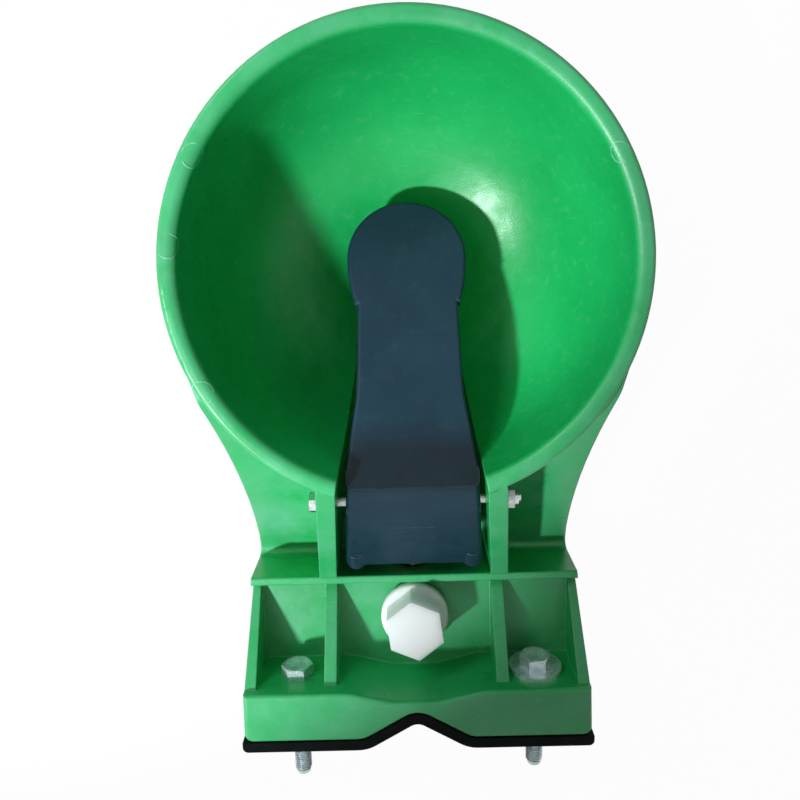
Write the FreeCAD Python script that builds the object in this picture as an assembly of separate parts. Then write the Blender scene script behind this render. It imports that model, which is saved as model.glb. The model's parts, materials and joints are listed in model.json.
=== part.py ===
"""Livestock drinking bowl with a tongue valve, in millimetres.

The frame has Z up and the wall behind the bowl in the plane Y = 0. The bowl stands out
towards -Y. The origin lies half way between the two mounting bolts.
"""
import FreeCAD
import Part
import math
import os

# Clearances
SLIDE_GAP = 0.15         # radial play of a pin or stem in its guide
THREAD_GAP = 0.06        # radial play drawn between two threads, both at their minor size
SEAT_GAP = 0.1           # play left where a seal or a cover meets its seat
LINK_GAP = 0.3           # play between the tongue's lug and the stem

# Bowl
RIM_RADIUS = 115.0
RIM_TOP = 40.0           # above the bolt axes
RIM_REACH = 265.0        # bowl axis in front of the wall
RIM_BAND = 9.5
RIM_DEPTH = 12.0
RIM_LIP = 5.0
RIM_EDGE = 2.5
BOWL_DEPTH = 101.0
BOWL_WALL = 4.5
BOWL_DRAFT = 9.0         # degrees
BOWL_CORNER = 74.0
BOWL_FLOOR_RADIUS = 135.0

# Neck between bowl and flange
NECK_HALF_WIDTH = 91.7
NECK_WAIST_REACH = 125.0
NECK_BOTTOM = -55.0
NECK_WALL = 4.5
NECK_TOP_DROP = 4.0      # shoulders start this far below the rim's top
NECK_TOP_ROUND = 12.0
NECK_FOOT_ROUND = 4.0
SKIRT_ROUND = 40.0
SHOULDER_SLOPE = 36.0    # degrees
SHOULDER_FOOT = -48.0
RIDGE_FRONT = 90.0       # in front of the wall
RIDGE_THICK = 5.0
RIDGE_TOP = -11.0
RIDGE_ROUND = 1.5

# Cheeks and the trough between them
TROUGH_REAR_HALF = 44.3  # half the gap between the cheeks, at the ridge
TROUGH_RIM_HALF = 38.0   # and where they reach the rim
TROUGH_RIM_REACH = 157.0
TROUGH_NOSE_HALF = 30.0  # narrow end of the opening in the bowl
TROUGH_NOSE_REACH = 209.0
TROUGH_ROUND = 15.0
CHEEK_THICK = 9.8
CHEEK_ROUND = 8.0
TROUGH_FLOOR = 4.0

# Flange and gasket
GASKET_THICK = 6.0
FLANGE_THICK = 29.5
FLANGE_HALF_WIDTH = 97.5
FLANGE_DRAFT = 3.0       # narrower at the ridge, on each side
FLANGE_CORNER = 5.0
FLANGE_TOP = 22.0
FLANGE_WALL = 5.0
POCKET_FLOOR_AT_FLANGE = -17.5
POCKET_FLOOR_SLOPE = 6.0  # degrees
POCKET_FLOOR_WALL = 4.5
GUSSET_THICK = 4.5
RIB_THICK = 7.0
RIB_OFFSET = 48.5
GUSSET_START = 1.0       # above the pocket's floor, at the ridge
GUSSET_TOP_DROP = 6.0    # below the top of the flange
RIB_TOP_DROP = 8.5
SCOOP_HALF_WIDTH = 37.0
SCOOP_FLOOR_HALF = 13.0
SCOOP_DEPTH = 6.0
SCOOP_ROUND = 22.0
GROOVE_HALF_WIDTH = 30.0
GROOVE_DEPTH = 18.0
GROOVE_ROUND = 13.0
GROOVE_EDGE_ROUND = 14.0
FLANGE_CORE_START = 20.0  # nearest the middle that the flange is hollow
EDGE_ROUND = 2.5

# Mounting bolts, metric 10
BOLT_SPACING = 137.0
BOLT_RADIUS = 5.0
BOLT_HEAD_FLATS = 16.0
BOLT_HEAD_THICK = 6.4
BOLT_LENGTH = 65.0
BOLT_THREAD_RADIUS = 4.75  # between the thread's root and its crest
BOLT_THREAD_LENGTH = 33.0
BOLT_HOLE_PLAY = 1.25
BOLT_BOSS_WALL = 6.0
WASHER_RADIUS = 15.0
WASHER_THICK = 2.5
WASHER_PLAY = 0.5

# Water chamber and plug, pipe thread three quarter inch
PORT_RADIUS = 12.06
PORT_REACH = 62.0        # chamber axis in front of the wall
PORT_WALL = 6.5
PORT_BOTTOM = -60.0
PORT_THREAD_LENGTH = 14.0
CHAMBER_RADIUS = 10.5
PLUG_FLANGE_RADIUS = 19.7
PLUG_FLANGE_THICK = 7.0
PLUG_HEX_FLATS = 30.0
PLUG_HEX_HEIGHT = 20.0
PLUG_THREAD_LENGTH = 12.0
PLUG_BORE_RADIUS = 8.5
PLUG_GASKET_THICK = 2.0
PLUG_HEX_TURN = 37.0     # degrees
PLUG_FLANGE_ROUND = 2.0

# Pivot bolt, metric 6
PIVOT_REACH = 144.0
PIVOT_HEIGHT = 10.0
PIVOT_SEAT_HALF = 50.4   # flat bosses on the cheeks, from the middle
PIVOT_BOSS_RADIUS = 7.0
PIVOT_RADIUS = 3.0
PIVOT_THREAD_RADIUS = 2.94
PIVOT_THREAD_LENGTH = 18.0
PIVOT_FLATS = 10.0
PIVOT_HEAD_THICK = 4.0
PIVOT_NUT_THICK = 6.0
PIVOT_TIP = 1.5          # bolt end past its nut
PIVOT_COLLAR_RADIUS = 4.4
SLEEVE_WALL = 1.0

# Tongue
TONGUE_HALF_WIDTH = 39.4  # at the rear
TONGUE_CREASE_HALF = 34.0
TONGUE_SHIFT = -0.7      # the tongue sits nearer to the nut
TONGUE_CREASE_REACH = 157.5
TONGUE_CREASE_HEIGHT = 29.0
TONGUE_SLOPE = 25.0      # degrees, arm falling towards the nose
TONGUE_ARM_LENGTH = 124.0  # crease to the centre of the head
TONGUE_ARM_THICK = 9.0
TONGUE_HEAD_RADIUS = 32.0
TONGUE_HEAD_THICK = 9.6
TONGUE_HEAD_TAIL = 26.0
TONGUE_NECK_HALF = 26.4
TONGUE_WAIST_HALF = 27.8
TONGUE_FLARE = 50.0      # length of the arm's widening before the crease
TONGUE_ROOT = 10.0       # stretch of the arm that has the block's full width
TONGUE_CREASE_ROUND = 25.0
TONGUE_REAR_REACH = 97.0
TONGUE_REAR_HEIGHT = -10.0
TONGUE_BLOCK_DEPTH = 16.0
TONGUE_PLATE = 6.5
TONGUE_CHEEK = 7.0
TONGUE_BOSS_RADIUS = 5.5
TONGUE_BOSS_LENGTH = 12.0
TONGUE_BOSS_PROUD = 1.5  # corner bosses past the rear edge and above the upper face
TONGUE_SIDE_ROUND = 3.0
TONGUE_ROUND = 2.0
TONGUE_REAR_ROUND = 4.0
TONGUE_CHIN_ROUND = 6.0
TONGUE_FLARE_ROUND = 30.0
TONGUE_WAIST_ROUND = 80.0
TONGUE_HEAD_STEP = 1.6   # head wider than the neck where they meet, on each side
TONGUE_ARCH_PLAY = 4.0   # room round the valve's hexagon
LUG_THICK = 7.0
LUG_HALF_WIDTH = 12.0
LUG_BELOW_STEM = 6.0

# Valve
VALVE_HEIGHT = -34.0
VALVE_THREAD_RADIUS = 9.3
VALVE_HEX_FLATS = 24.0
VALVE_HEX_THICK = 8.0
VALVE_BARREL_RADIUS = 9.0
VALVE_BARREL_LENGTH = 14.0
VALVE_NOSE_RADIUS = 6.0
VALVE_NOSE_LENGTH = 6.0
VALVE_THREAD_LENGTH = 13.0
VALVE_BORE_RADIUS = 7.0
VALVE_THROAT_RADIUS = 4.0
VALVE_SPOUT_RADIUS = 2.0
VALVE_GASKET_THICK = 1.5
VALVE_GASKET_LIP = 2.5
SEAT_THICK = 2.5
SEAL_THICK = 3.0
SEAL_WASHER_THICK = 1.2
STEM_RADIUS = 2.5
SEAL_RADIUS = 5.5
STEM_HEAD_THICK = 1.8
STEM_TIP_OUT = 8.0       # stem past the nose of the valve
SPRING_WIRE = 0.5        # wire radius
SPRING_TURNS = 3.5
CAP_THICK = 2.5
CAP_HOLE_RADIUS = 3.0
CAP_SLOTS = 4
CAP_SLOT_RADIUS = 1.0
VALVE_SPOUTS = 4
VALVE_SPOUT_SET = 0.6    # spouts away from the end of the throat
VALVE_NOSE_WALL = 2.0    # between the throat and the end of the barrel
STEM_RIVET_RADIUS = 3.5

# Hexagons
HEX_DOME = 1.02          # radius of the bevel's cone at the face, as a share of the corners'
HEX_BEVEL = 0.16

# Places that follow from the sizes
FLANGE_BACK = -GASKET_THICK
FLANGE_FRONT = FLANGE_BACK - FLANGE_THICK
BOWL_Y = -RIM_REACH
BOWL_FLOOR = RIM_TOP - BOWL_DEPTH
RIDGE_Y0 = -RIDGE_FRONT
RIDGE_Y1 = RIDGE_Y0 + RIDGE_THICK
CHEEK_RIM_OUT = TROUGH_RIM_HALF + CHEEK_THICK
TROUGH_Z = NECK_BOTTOM + TROUGH_FLOOR
PORT_Y = -PORT_REACH
PORT_OUTER = PORT_RADIUS + PORT_WALL
BOLT_X = BOLT_SPACING / 2
BOLT_HOLE = BOLT_RADIUS + BOLT_HOLE_PLAY
PIVOT_Y = -PIVOT_REACH
PIVOT_Z = PIVOT_HEIGHT
SLEEVE_BORE = PIVOT_RADIUS + SLIDE_GAP
SLEEVE_RADIUS = SLEEVE_BORE + SLEEVE_WALL
BIG = 400.0              # longer than anything it cuts
EPS = 0.01               # overlap of a cut past the face it opens


def vec(x, y, z):
    return FreeCAD.Vector(x, y, z)


def tan_deg(angle):
    return math.tan(math.radians(angle))


def box(x0, x1, y0, y1, z0, z1):
    return Part.makeBox(x1 - x0, y1 - y0, z1 - z0, vec(x0, y0, z0))


def rod(start, end, radius):
    axis = end - start
    return Part.makeCylinder(radius, axis.Length, start, axis)


def ring(start, end, outer, inner):
    axis = (end - start).normalize() * EPS
    return rod(start, end, outer).cut(rod(start - axis, end + axis, inner))


def fuse(shapes):
    return shapes[0].multiFuse(shapes[1:]).removeSplitter()


def both_sides(shape):
    """The shape and its mirror image across the middle plane."""
    return [shape, shape.mirror(vec(0, 0, 0), vec(1, 0, 0))]


def rounded_wire(points, radii):
    """A closed wire through the points, each corner rounded by its own radius."""
    count = len(points)
    starts = []
    ends = []
    edges = []
    for i, corner in enumerate(points):
        before = (points[i - 1] - corner).normalize()
        after = (points[(i + 1) % count] - corner).normalize()
        if radii[i] <= 0:
            starts.append(corner)
            ends.append(corner)
            continue
        half = before.getAngle(after) / 2
        reach = radii[i] / math.tan(half)
        starts.append(corner + before * reach)
        ends.append(corner + after * reach)
        middle = (before + after).normalize()
        centre = corner + middle * (radii[i] / math.sin(half))
        edges.append(Part.Arc(starts[i], centre - middle * radii[i], ends[i]).toShape())
    for i in range(count):
        tip = starts[(i + 1) % count]
        if ends[i].distanceToPoint(tip) > EPS / 10:
            edges.append(Part.makeLine(ends[i], tip))
    return Part.Wire(Part.__sortEdges__(edges))


def side_prism(points, radii, x0, x1):
    """A side view in Y and Z, carried across from x0 to x1."""
    corners = [vec(x0, y, z) for y, z in points]
    return Part.Face(rounded_wire(corners, radii)).extrude(vec(x1 - x0, 0, 0))


def plan_prism(points, radii, z0, z1):
    """A plan in X and Y, carried up from z0 to z1."""
    corners = [vec(x, y, z0) for x, y in points]
    return Part.Face(rounded_wire(corners, radii)).extrude(vec(0, 0, z1 - z0))


def hex_prism(centre, axis, flats, thick, turn=0.0):
    """A hexagon with a point along Z, or along X where the axis is upright."""
    radius = flats / math.sqrt(3)
    axis = axis.normalize()
    side = vec(0, 0, 1) if abs(axis.z) < 0.5 else vec(1, 0, 0)
    side = (side - axis * side.dot(axis)).normalize()
    other = axis.cross(side)
    corners = []
    for i in range(6):
        angle = math.radians(60 * i + turn)
        spoke = side * math.cos(angle) + other * math.sin(angle)
        corners.append(centre + spoke * radius)
    prism = Part.Face(Part.makePolygon(corners + corners[:1])).extrude(axis * thick)
    dome_radius = radius * HEX_DOME
    bevel = radius * HEX_BEVEL
    cone = Part.makeCone(dome_radius + thick, dome_radius - bevel, thick + bevel, centre, axis)
    return prism.common(cone)


def bowl_surface(offset, top):
    """Edges of the bowl's wall, moved outwards by the offset, from the axis up to the top."""
    draft = math.radians(BOWL_DRAFT)
    wall_r = RIM_RADIUS - RIM_BAND
    sphere_z = BOWL_FLOOR + BOWL_FLOOR_RADIUS
    slope = math.tan(draft)
    shift = wall_r - (RIM_TOP - RIM_LIP) * slope - BOWL_CORNER / math.cos(draft)
    span = BOWL_FLOOR_RADIUS - BOWL_CORNER
    quad_a = slope * slope + 1
    quad_b = shift * slope - sphere_z
    quad_c = shift * shift + sphere_z * sphere_z - span * span
    corner_z = (-quad_b - math.sqrt(quad_b * quad_b - quad_a * quad_c)) / quad_a
    corner_r = shift + slope * corner_z
    low = math.atan2(corner_z - sphere_z, corner_r)
    floor_r = BOWL_FLOOR_RADIUS + offset
    round_r = BOWL_CORNER + offset

    def on_floor(angle):
        return vec(floor_r * math.cos(angle), 0, sphere_z + floor_r * math.sin(angle))

    def on_round(angle):
        return vec(corner_r + round_r * math.cos(angle), 0, corner_z + round_r * math.sin(angle))

    down = -math.pi / 2
    side = -draft
    foot = on_round(side)
    rim = vec(foot.x + (top - foot.z) * slope, 0, top)
    edges = [Part.Arc(on_floor(down), on_floor((down + low) / 2), on_floor(low)).toShape(),
             Part.Arc(on_round(low), on_round((low + side) / 2), foot).toShape(),
             Part.makeLine(foot, rim)]
    return edges, on_floor(down), rim


def revolve_profile(edges):
    face = Part.Face(Part.Wire(Part.__sortEdges__(edges)))
    solid = face.revolve(vec(0, 0, 0), vec(0, 0, 1), 360)
    solid.translate(vec(0, BOWL_Y, 0))
    return solid


def bowl_outside():
    """The bowl as if it were full, with the thick band round its rim."""
    band_foot = RIM_TOP - RIM_DEPTH
    edges, bottom, top = bowl_surface(BOWL_WALL, band_foot)
    ledge = vec(RIM_RADIUS - RIM_EDGE, 0, band_foot)
    turn = RIM_EDGE * (1 - math.sqrt(0.5))
    low_side = vec(RIM_RADIUS, 0, band_foot + RIM_EDGE)
    high_side = vec(RIM_RADIUS, 0, RIM_TOP - RIM_EDGE)
    crown = vec(RIM_RADIUS - RIM_EDGE, 0, RIM_TOP)
    centre = vec(0, 0, RIM_TOP)
    edges += [Part.makeLine(top, ledge),
              Part.Arc(ledge, vec(RIM_RADIUS - turn, 0, band_foot + turn), low_side).toShape(),
              Part.makeLine(low_side, high_side),
              Part.Arc(high_side, vec(RIM_RADIUS - turn, 0, RIM_TOP - turn), crown).toShape(),
              Part.makeLine(crown, centre),
              Part.makeLine(centre, bottom)]
    return revolve_profile(edges)


def bowl_inside():
    """The space that the water and the muzzle take, opened past the rounded lip."""
    edges, bottom, top = bowl_surface(0, RIM_TOP - RIM_LIP)
    turn = RIM_LIP * (1 - math.sqrt(0.5))
    lip_end = vec(top.x + RIM_LIP, 0, RIM_TOP)
    lip_middle = vec(top.x + turn, 0, RIM_TOP - turn)
    above = vec(lip_end.x, 0, RIM_TOP + RIM_LIP)
    centre = vec(0, 0, RIM_TOP + RIM_LIP)
    edges += [Part.Arc(top, lip_middle, lip_end).toShape(),
              Part.makeLine(lip_end, above),
              Part.makeLine(above, centre),
              Part.makeLine(centre, bottom)]
    return revolve_profile(edges)


def neck_plan(inset, z0, z1):
    """Plan of the neck and flange: two long hollow arcs that leave the rim's circle."""
    rim = RIM_RADIUS - inset
    waist = NECK_HALF_WIDTH - inset
    run = RIM_REACH - NECK_WAIST_REACH
    arc = (waist * waist + run * run - rim * rim) / (2 * (rim - waist))
    centre_x = waist + arc
    aim = math.atan2(run, centre_x)
    leave = vec(rim * math.cos(aim), BOWL_Y + rim * math.sin(aim), z0)
    flare_y = (RIDGE_Y0 - NECK_WAIST_REACH) / 2

    def on_arc(y):
        away = y + NECK_WAIST_REACH
        return vec(centre_x - math.sqrt(arc * arc - away * away), y, z0)

    middle = on_arc(-NECK_WAIST_REACH)
    end = on_arc(flare_y)
    wide = FLANGE_HALF_WIDTH - inset
    corners = [vec(wide - FLANGE_DRAFT, RIDGE_Y1, z0), vec(wide, FLANGE_BACK - inset, z0)]

    def left(point):
        return vec(-point.x, point.y, point.z)

    edges = [Part.Arc(leave, middle, end).toShape(),
             Part.makeLine(end, corners[0]),
             Part.makeLine(corners[0], corners[1]),
             Part.makeLine(corners[1], left(corners[1])),
             Part.makeLine(left(corners[1]), left(corners[0])),
             Part.makeLine(left(corners[0]), left(end)),
             Part.Arc(left(end), left(middle), left(leave)).toShape(),
             Part.makeLine(left(leave), leave)]
    return Part.Face(Part.Wire(Part.__sortEdges__(edges))).extrude(vec(0, 0, z1 - z0))


def pocket_floor_z(y):
    return POCKET_FLOOR_AT_FLANGE - (FLANGE_FRONT - y) * tan_deg(POCKET_FLOOR_SLOPE)


def shoulder_y(z):
    return RIDGE_Y0 - (z - SHOULDER_FOOT) / tan_deg(SHOULDER_SLOPE)


def neck_block():
    """Neck, ridge and pocket floors in one side view, trimmed to the plan."""
    shelf = RIM_TOP - NECK_TOP_DROP
    end = FLANGE_FRONT + SCOOP_DEPTH + FLANGE_WALL / 2
    points = [(BOWL_Y, NECK_BOTTOM), (BOWL_Y, shelf), (shoulder_y(shelf), shelf),
              (RIDGE_Y0, SHOULDER_FOOT), (RIDGE_Y0, RIDGE_TOP), (RIDGE_Y1, RIDGE_TOP),
              (RIDGE_Y1, pocket_floor_z(RIDGE_Y1)), (end, pocket_floor_z(end)),
              (end, NECK_BOTTOM)]
    radii = [0, 0, NECK_TOP_ROUND, NECK_FOOT_ROUND, RIDGE_ROUND, RIDGE_ROUND, 0, 0, 0]
    solid = side_prism(points, radii, -RIM_RADIUS, RIM_RADIUS)
    return solid.common(neck_plan(0, NECK_BOTTOM - 1, RIM_TOP))


def scoop_line(inset):
    """Plan of the shallow hollow in the flange's front, from -X to +X."""
    front = FLANGE_FRONT + inset
    return [(-SCOOP_HALF_WIDTH, front), (-SCOOP_FLOOR_HALF, front + SCOOP_DEPTH),
            (SCOOP_FLOOR_HALF, front + SCOOP_DEPTH), (SCOOP_HALF_WIDTH, front)]


def flange_block():
    """The flange as if it were solid, with its hollow front and the pipe groove behind."""
    wide = FLANGE_HALF_WIDTH
    share = (FLANGE_BACK - FLANGE_FRONT) / (FLANGE_BACK - RIDGE_Y1)
    front = wide - FLANGE_DRAFT * share
    points = ([(-front, FLANGE_FRONT)] + scoop_line(0)
              + [(front, FLANGE_FRONT), (wide, FLANGE_BACK), (GROOVE_HALF_WIDTH, FLANGE_BACK),
                 (0, FLANGE_BACK - GROOVE_DEPTH), (-GROOVE_HALF_WIDTH, FLANGE_BACK),
                 (-wide, FLANGE_BACK)])
    radii = ([0] + [SCOOP_ROUND] * 4
             + [0, FLANGE_CORNER, GROOVE_EDGE_ROUND, GROOVE_ROUND, GROOVE_EDGE_ROUND, FLANGE_CORNER])
    block = plan_prism(points, radii, NECK_BOTTOM, FLANGE_TOP)
    top = [e for e in block.Edges if e.BoundBox.ZMin > FLANGE_TOP - EPS]
    return block.makeFillet(EDGE_ROUND, top)


def flange_cores():
    """The two hollows of the flange, open below, one each side of the groove."""
    front = FLANGE_FRONT + FLANGE_WALL
    back = FLANGE_BACK - FLANGE_WALL
    rise = SCOOP_DEPTH / (SCOOP_HALF_WIDTH - SCOOP_FLOOR_HALF)
    fall = GROOVE_DEPTH / GROOVE_HALF_WIDTH
    start = FLANGE_CORE_START
    wide = FLANGE_HALF_WIDTH - FLANGE_DRAFT - FLANGE_WALL
    points = [(start, front + rise * (SCOOP_HALF_WIDTH - start)), (SCOOP_HALF_WIDTH, front),
              (wide, front), (wide, back), (GROOVE_HALF_WIDTH, back),
              (start, back - fall * (GROOVE_HALF_WIDTH - start))]
    core = plan_prism(points, [0] * len(points), NECK_BOTTOM - 1, FLANGE_TOP - FLANGE_WALL)
    return both_sides(core)


def trough_plan(extra, z0, z1):
    """Plan of the trough, wide at the ridge and narrow in the bowl, made wider by extra."""
    side = [(TROUGH_REAR_HALF + extra, RIDGE_Y0), (TROUGH_RIM_HALF + extra, -TROUGH_RIM_REACH),
            (TROUGH_NOSE_HALF + extra, -TROUGH_NOSE_REACH), (TROUGH_NOSE_HALF + extra, BOWL_Y)]
    other = [(-x, y) for x, y in reversed(side)]
    radii = [0, TROUGH_ROUND, TROUGH_ROUND, 0]
    return plan_prism(side + other, radii + radii[::-1], z0, z1)


def skirt_cut():
    """The underside outside the trough, rising towards the rim to meet the bowl."""
    rise = RIM_TOP - RIM_DEPTH
    back = BOWL_Y + RIM_RADIUS
    end = BOWL_Y + RIM_RADIUS * math.sin(math.acos(NECK_HALF_WIDTH / RIM_RADIUS)) / 2
    start = back + (back - end) / 2
    tail = start + SKIRT_ROUND
    points = [(tail, NECK_BOTTOM), (start, NECK_BOTTOM), (end, rise), (BOWL_Y, rise),
              (BOWL_Y, NECK_BOTTOM - 1), (tail, NECK_BOTTOM - 1)]
    skirt = side_prism(points, [0, SKIRT_ROUND, 0, 0, 0, 0], -RIM_RADIUS - 1, RIM_RADIUS + 1)
    return skirt.cut(trough_plan(CHEEK_THICK, NECK_BOTTOM - 2, RIM_TOP))


def neck_core():
    """What is cored out from below: under the shoulders, the pockets and the flange."""
    low = NECK_BOTTOM - 1
    shelf = RIM_TOP - NECK_TOP_DROP - NECK_WALL
    drop = NECK_WALL / math.cos(math.radians(SHOULDER_SLOPE))
    foot = SHOULDER_FOOT - drop
    floor_drop = POCKET_FLOOR_WALL / math.cos(math.radians(POCKET_FLOOR_SLOPE))
    shoulder = [(BOWL_Y, low), (BOWL_Y, shelf), (shoulder_y(shelf + drop), shelf),
                (RIDGE_Y0, foot), (RIDGE_Y0, low)]
    pocket = [(RIDGE_Y1, low), (RIDGE_Y1, pocket_floor_z(RIDGE_Y1) - floor_drop),
              (FLANGE_FRONT, POCKET_FLOOR_AT_FLANGE - floor_drop), (FLANGE_FRONT, low)]
    cores = []
    for points in (shoulder, pocket):
        cores.append(side_prism(points, [0] * len(points), -RIM_RADIUS, RIM_RADIUS))
    core = cores[0].fuse(cores[1]).common(neck_plan(NECK_WALL, low - 1, RIM_TOP))
    walls = core_walls()
    return core.multiFuse(flange_cores()).cut(walls[0].multiFuse(walls[1:]))


def core_walls():
    """What stays standing inside the cored neck: trough, housing, ribs and bolt bosses."""
    low = NECK_BOTTOM - 2
    walls = [trough_plan(CHEEK_THICK, low, RIM_TOP),
             rod(vec(0, PORT_Y, low), vec(0, PORT_Y, 0), PORT_OUTER)]
    boss = VALVE_THREAD_RADIUS + PORT_WALL
    walls.append(rod(on_valve(RIDGE_Y0), on_valve(PORT_Y), boss))
    walls.append(box(-boss, boss, RIDGE_Y0, PORT_Y, VALVE_HEIGHT, 0))
    half_rib = GUSSET_THICK / 2
    for side in (-1, 1):
        middle = side * RIB_OFFSET
        walls.append(box(middle - half_rib, middle + half_rib, RIDGE_Y0, FLANGE_FRONT, low, 0))
        front = vec(side * BOLT_X, FLANGE_FRONT, 0)
        back = vec(side * BOLT_X, FLANGE_BACK, 0)
        walls.append(rod(front, back, BOLT_HOLE + BOLT_BOSS_WALL))
    return walls


def cheeks():
    """Two walls beside the trough, level at the rim and then straight down to the ridge."""
    front = BOWL_Y + math.sqrt((RIM_RADIUS - RIM_BAND) ** 2 - CHEEK_RIM_OUT ** 2) - RIM_LIP
    start = BOWL_Y + math.sqrt(RIM_RADIUS ** 2 - CHEEK_RIM_OUT ** 2)
    points = [(front, NECK_BOTTOM), (front, RIM_TOP), (start, RIM_TOP),
              (RIDGE_Y0, RIDGE_TOP + 1), (RIDGE_Y0, NECK_BOTTOM)]
    wall = side_prism(points, [0, 0, CHEEK_ROUND, 0, 0], -RIM_RADIUS, RIM_RADIUS)
    return wall.common(trough_plan(CHEEK_THICK, NECK_BOTTOM - 1, RIM_TOP + 1))


def pivot_bosses():
    """Flat seats on the sloping outer faces of the cheeks."""
    start = vec(TROUGH_RIM_HALF + CHEEK_THICK / 2, PIVOT_Y, PIVOT_Z)
    return both_sides(rod(start, vec(PIVOT_SEAT_HALF, PIVOT_Y, PIVOT_Z), PIVOT_BOSS_RADIUS))


def gusset_profile(drop):
    """Web from the foot of the ridge up to the flange, ending below the flange's top."""
    low = pocket_floor_z(RIDGE_Y0) - POCKET_FLOOR_WALL
    top = FLANGE_TOP - drop
    inside = FLANGE_FRONT + FLANGE_WALL / 2
    middle = RIDGE_Y0 + RIDGE_THICK / 2
    start = pocket_floor_z(RIDGE_Y1) + GUSSET_START
    return [(middle, low), (middle, start), (RIDGE_Y1, start), (FLANGE_FRONT, top),
            (inside, top), (inside, low)]


def gussets():
    """Triangular webs from the ridge up to the flange, two thin outer and two thick inner."""
    radii = [0] * 6
    outer = side_prism(gusset_profile(GUSSET_TOP_DROP), radii,
                       FLANGE_HALF_WIDTH - FLANGE_DRAFT - GUSSET_THICK, FLANGE_HALF_WIDTH)
    inner = side_prism(gusset_profile(RIB_TOP_DROP), radii,
                       RIB_OFFSET - RIB_THICK / 2, RIB_OFFSET + RIB_THICK / 2)
    outer = outer.common(neck_plan(0, NECK_BOTTOM - 1, RIM_TOP))
    return both_sides(outer) + both_sides(inner)


def port_axis():
    """Direction of the upper port, square to the sloping floor of its pocket."""
    angle = math.radians(POCKET_FLOOR_SLOPE)
    return vec(0, -math.sin(angle), math.cos(angle))


def port_seat():
    return vec(0, PORT_Y, pocket_floor_z(PORT_Y))


def body_bores():
    """Every hole through the moulding."""
    seat = port_seat()
    axis = port_axis()
    thread_top = vec(0, PORT_Y, PORT_BOTTOM + PORT_THREAD_LENGTH)
    valve_hole = VALVE_THREAD_RADIUS + THREAD_GAP
    bores = [rod(seat + axis, seat - axis * PORT_THREAD_LENGTH, PORT_RADIUS),
             rod(vec(0, PORT_Y, PORT_BOTTOM - 1), thread_top, PORT_RADIUS),
             rod(vec(0, PORT_Y, PORT_BOTTOM), seat - axis, CHAMBER_RADIUS),
             rod(on_valve(RIDGE_Y0 - 1), on_valve(PORT_Y), valve_hole),
             rod(vec(-BIG, PIVOT_Y, PIVOT_Z), vec(BIG, PIVOT_Y, PIVOT_Z), SLEEVE_BORE)]
    for side in (-1, 1):
        start = vec(side * BOLT_X, FLANGE_FRONT - 1, 0)
        bores.append(rod(start, vec(side * BOLT_X, FLANGE_BACK + 1, 0), BOLT_HOLE))
    return bores


def trough_cut():
    """The open channel between the cheeks, through the back of the bowl."""
    radius = TROUGH_FLOOR / 2
    points = [(BOWL_Y, TROUGH_Z), (RIDGE_Y0, TROUGH_Z), (RIDGE_Y0, RIM_TOP + RIM_LIP),
              (BOWL_Y, RIM_TOP + RIM_LIP)]
    channel = side_prism(points, [0, radius, 0, 0], -RIM_RADIUS, RIM_RADIUS)
    return channel.common(trough_plan(0, NECK_BOTTOM, RIM_TOP + RIM_LIP + 1))


def bowl_body():
    neck = neck_block().fuse(flange_block()).cut([neck_core(), skirt_cut()])
    port = rod(vec(0, PORT_Y, PORT_BOTTOM), vec(0, PORT_Y, NECK_BOTTOM + 1), PORT_OUTER)
    solid = fuse([neck, bowl_outside(), port, cheeks()] + pivot_bosses() + gussets())
    cuts = [bowl_inside(), trough_cut()] + body_bores()
    return solid.cut(cuts[0].multiFuse(cuts[1:])).removeSplitter()


def wall_gasket():
    """Rubber sheet that follows the back of the flange and its groove."""
    slope = math.atan(GROOVE_DEPTH / GROOVE_HALF_WIDTH)
    half = FLANGE_HALF_WIDTH + 1
    apex = FLANGE_BACK - GROOVE_DEPTH
    back_half = GROOVE_HALF_WIDTH - GASKET_THICK * math.tan(slope / 2)
    points = [(-half, FLANGE_BACK), (-GROOVE_HALF_WIDTH, FLANGE_BACK), (0, apex),
              (GROOVE_HALF_WIDTH, FLANGE_BACK), (half, FLANGE_BACK), (half, 0), (back_half, 0),
              (0, apex + GASKET_THICK / math.cos(slope)), (-back_half, 0), (-half, 0)]
    outer = GROOVE_EDGE_ROUND
    radii = [0, outer, GROOVE_ROUND, outer, 0, GASKET_THICK / 2, outer + GASKET_THICK,
             GROOVE_ROUND - GASKET_THICK, outer + GASKET_THICK, GASKET_THICK / 2]
    sheet = plan_prism(points, radii, NECK_BOTTOM, FLANGE_TOP)
    for side in (-1, 1):
        start = vec(side * BOLT_X, FLANGE_BACK - 1, 0)
        sheet = sheet.cut(rod(start, vec(side * BOLT_X, 1, 0), BOLT_HOLE))
    return sheet


def bolt_shank(seat, axis, radius, thread_radius, thread_length, length):
    """Plain shank, threaded end drawn as a cylinder of the thread's size, and a bevelled tip."""
    bevel = thread_radius / 4
    thread_start = seat + axis * (length - thread_length)
    tip_start = seat + axis * (length - bevel)
    return [rod(seat, thread_start, radius),
            rod(thread_start, tip_start, thread_radius),
            Part.makeCone(thread_radius, thread_radius - bevel, bevel, tip_start, axis)]


def mounting_bolt(seat):
    back = vec(0, 1, 0)
    head = hex_prism(seat, vec(0, -1, 0), BOLT_HEAD_FLATS, BOLT_HEAD_THICK)
    return fuse([head] + bolt_shank(seat, back, BOLT_RADIUS, BOLT_THREAD_RADIUS,
                                    BOLT_THREAD_LENGTH, BOLT_LENGTH))


def mounting_bolts():
    """Two bolts through the flange. The one at -X stands on its washer."""
    return Part.makeCompound([mounting_bolt(vec(BOLT_X, FLANGE_FRONT, 0)),
                              mounting_bolt(vec(-BOLT_X, FLANGE_FRONT - WASHER_THICK, 0))])


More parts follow.
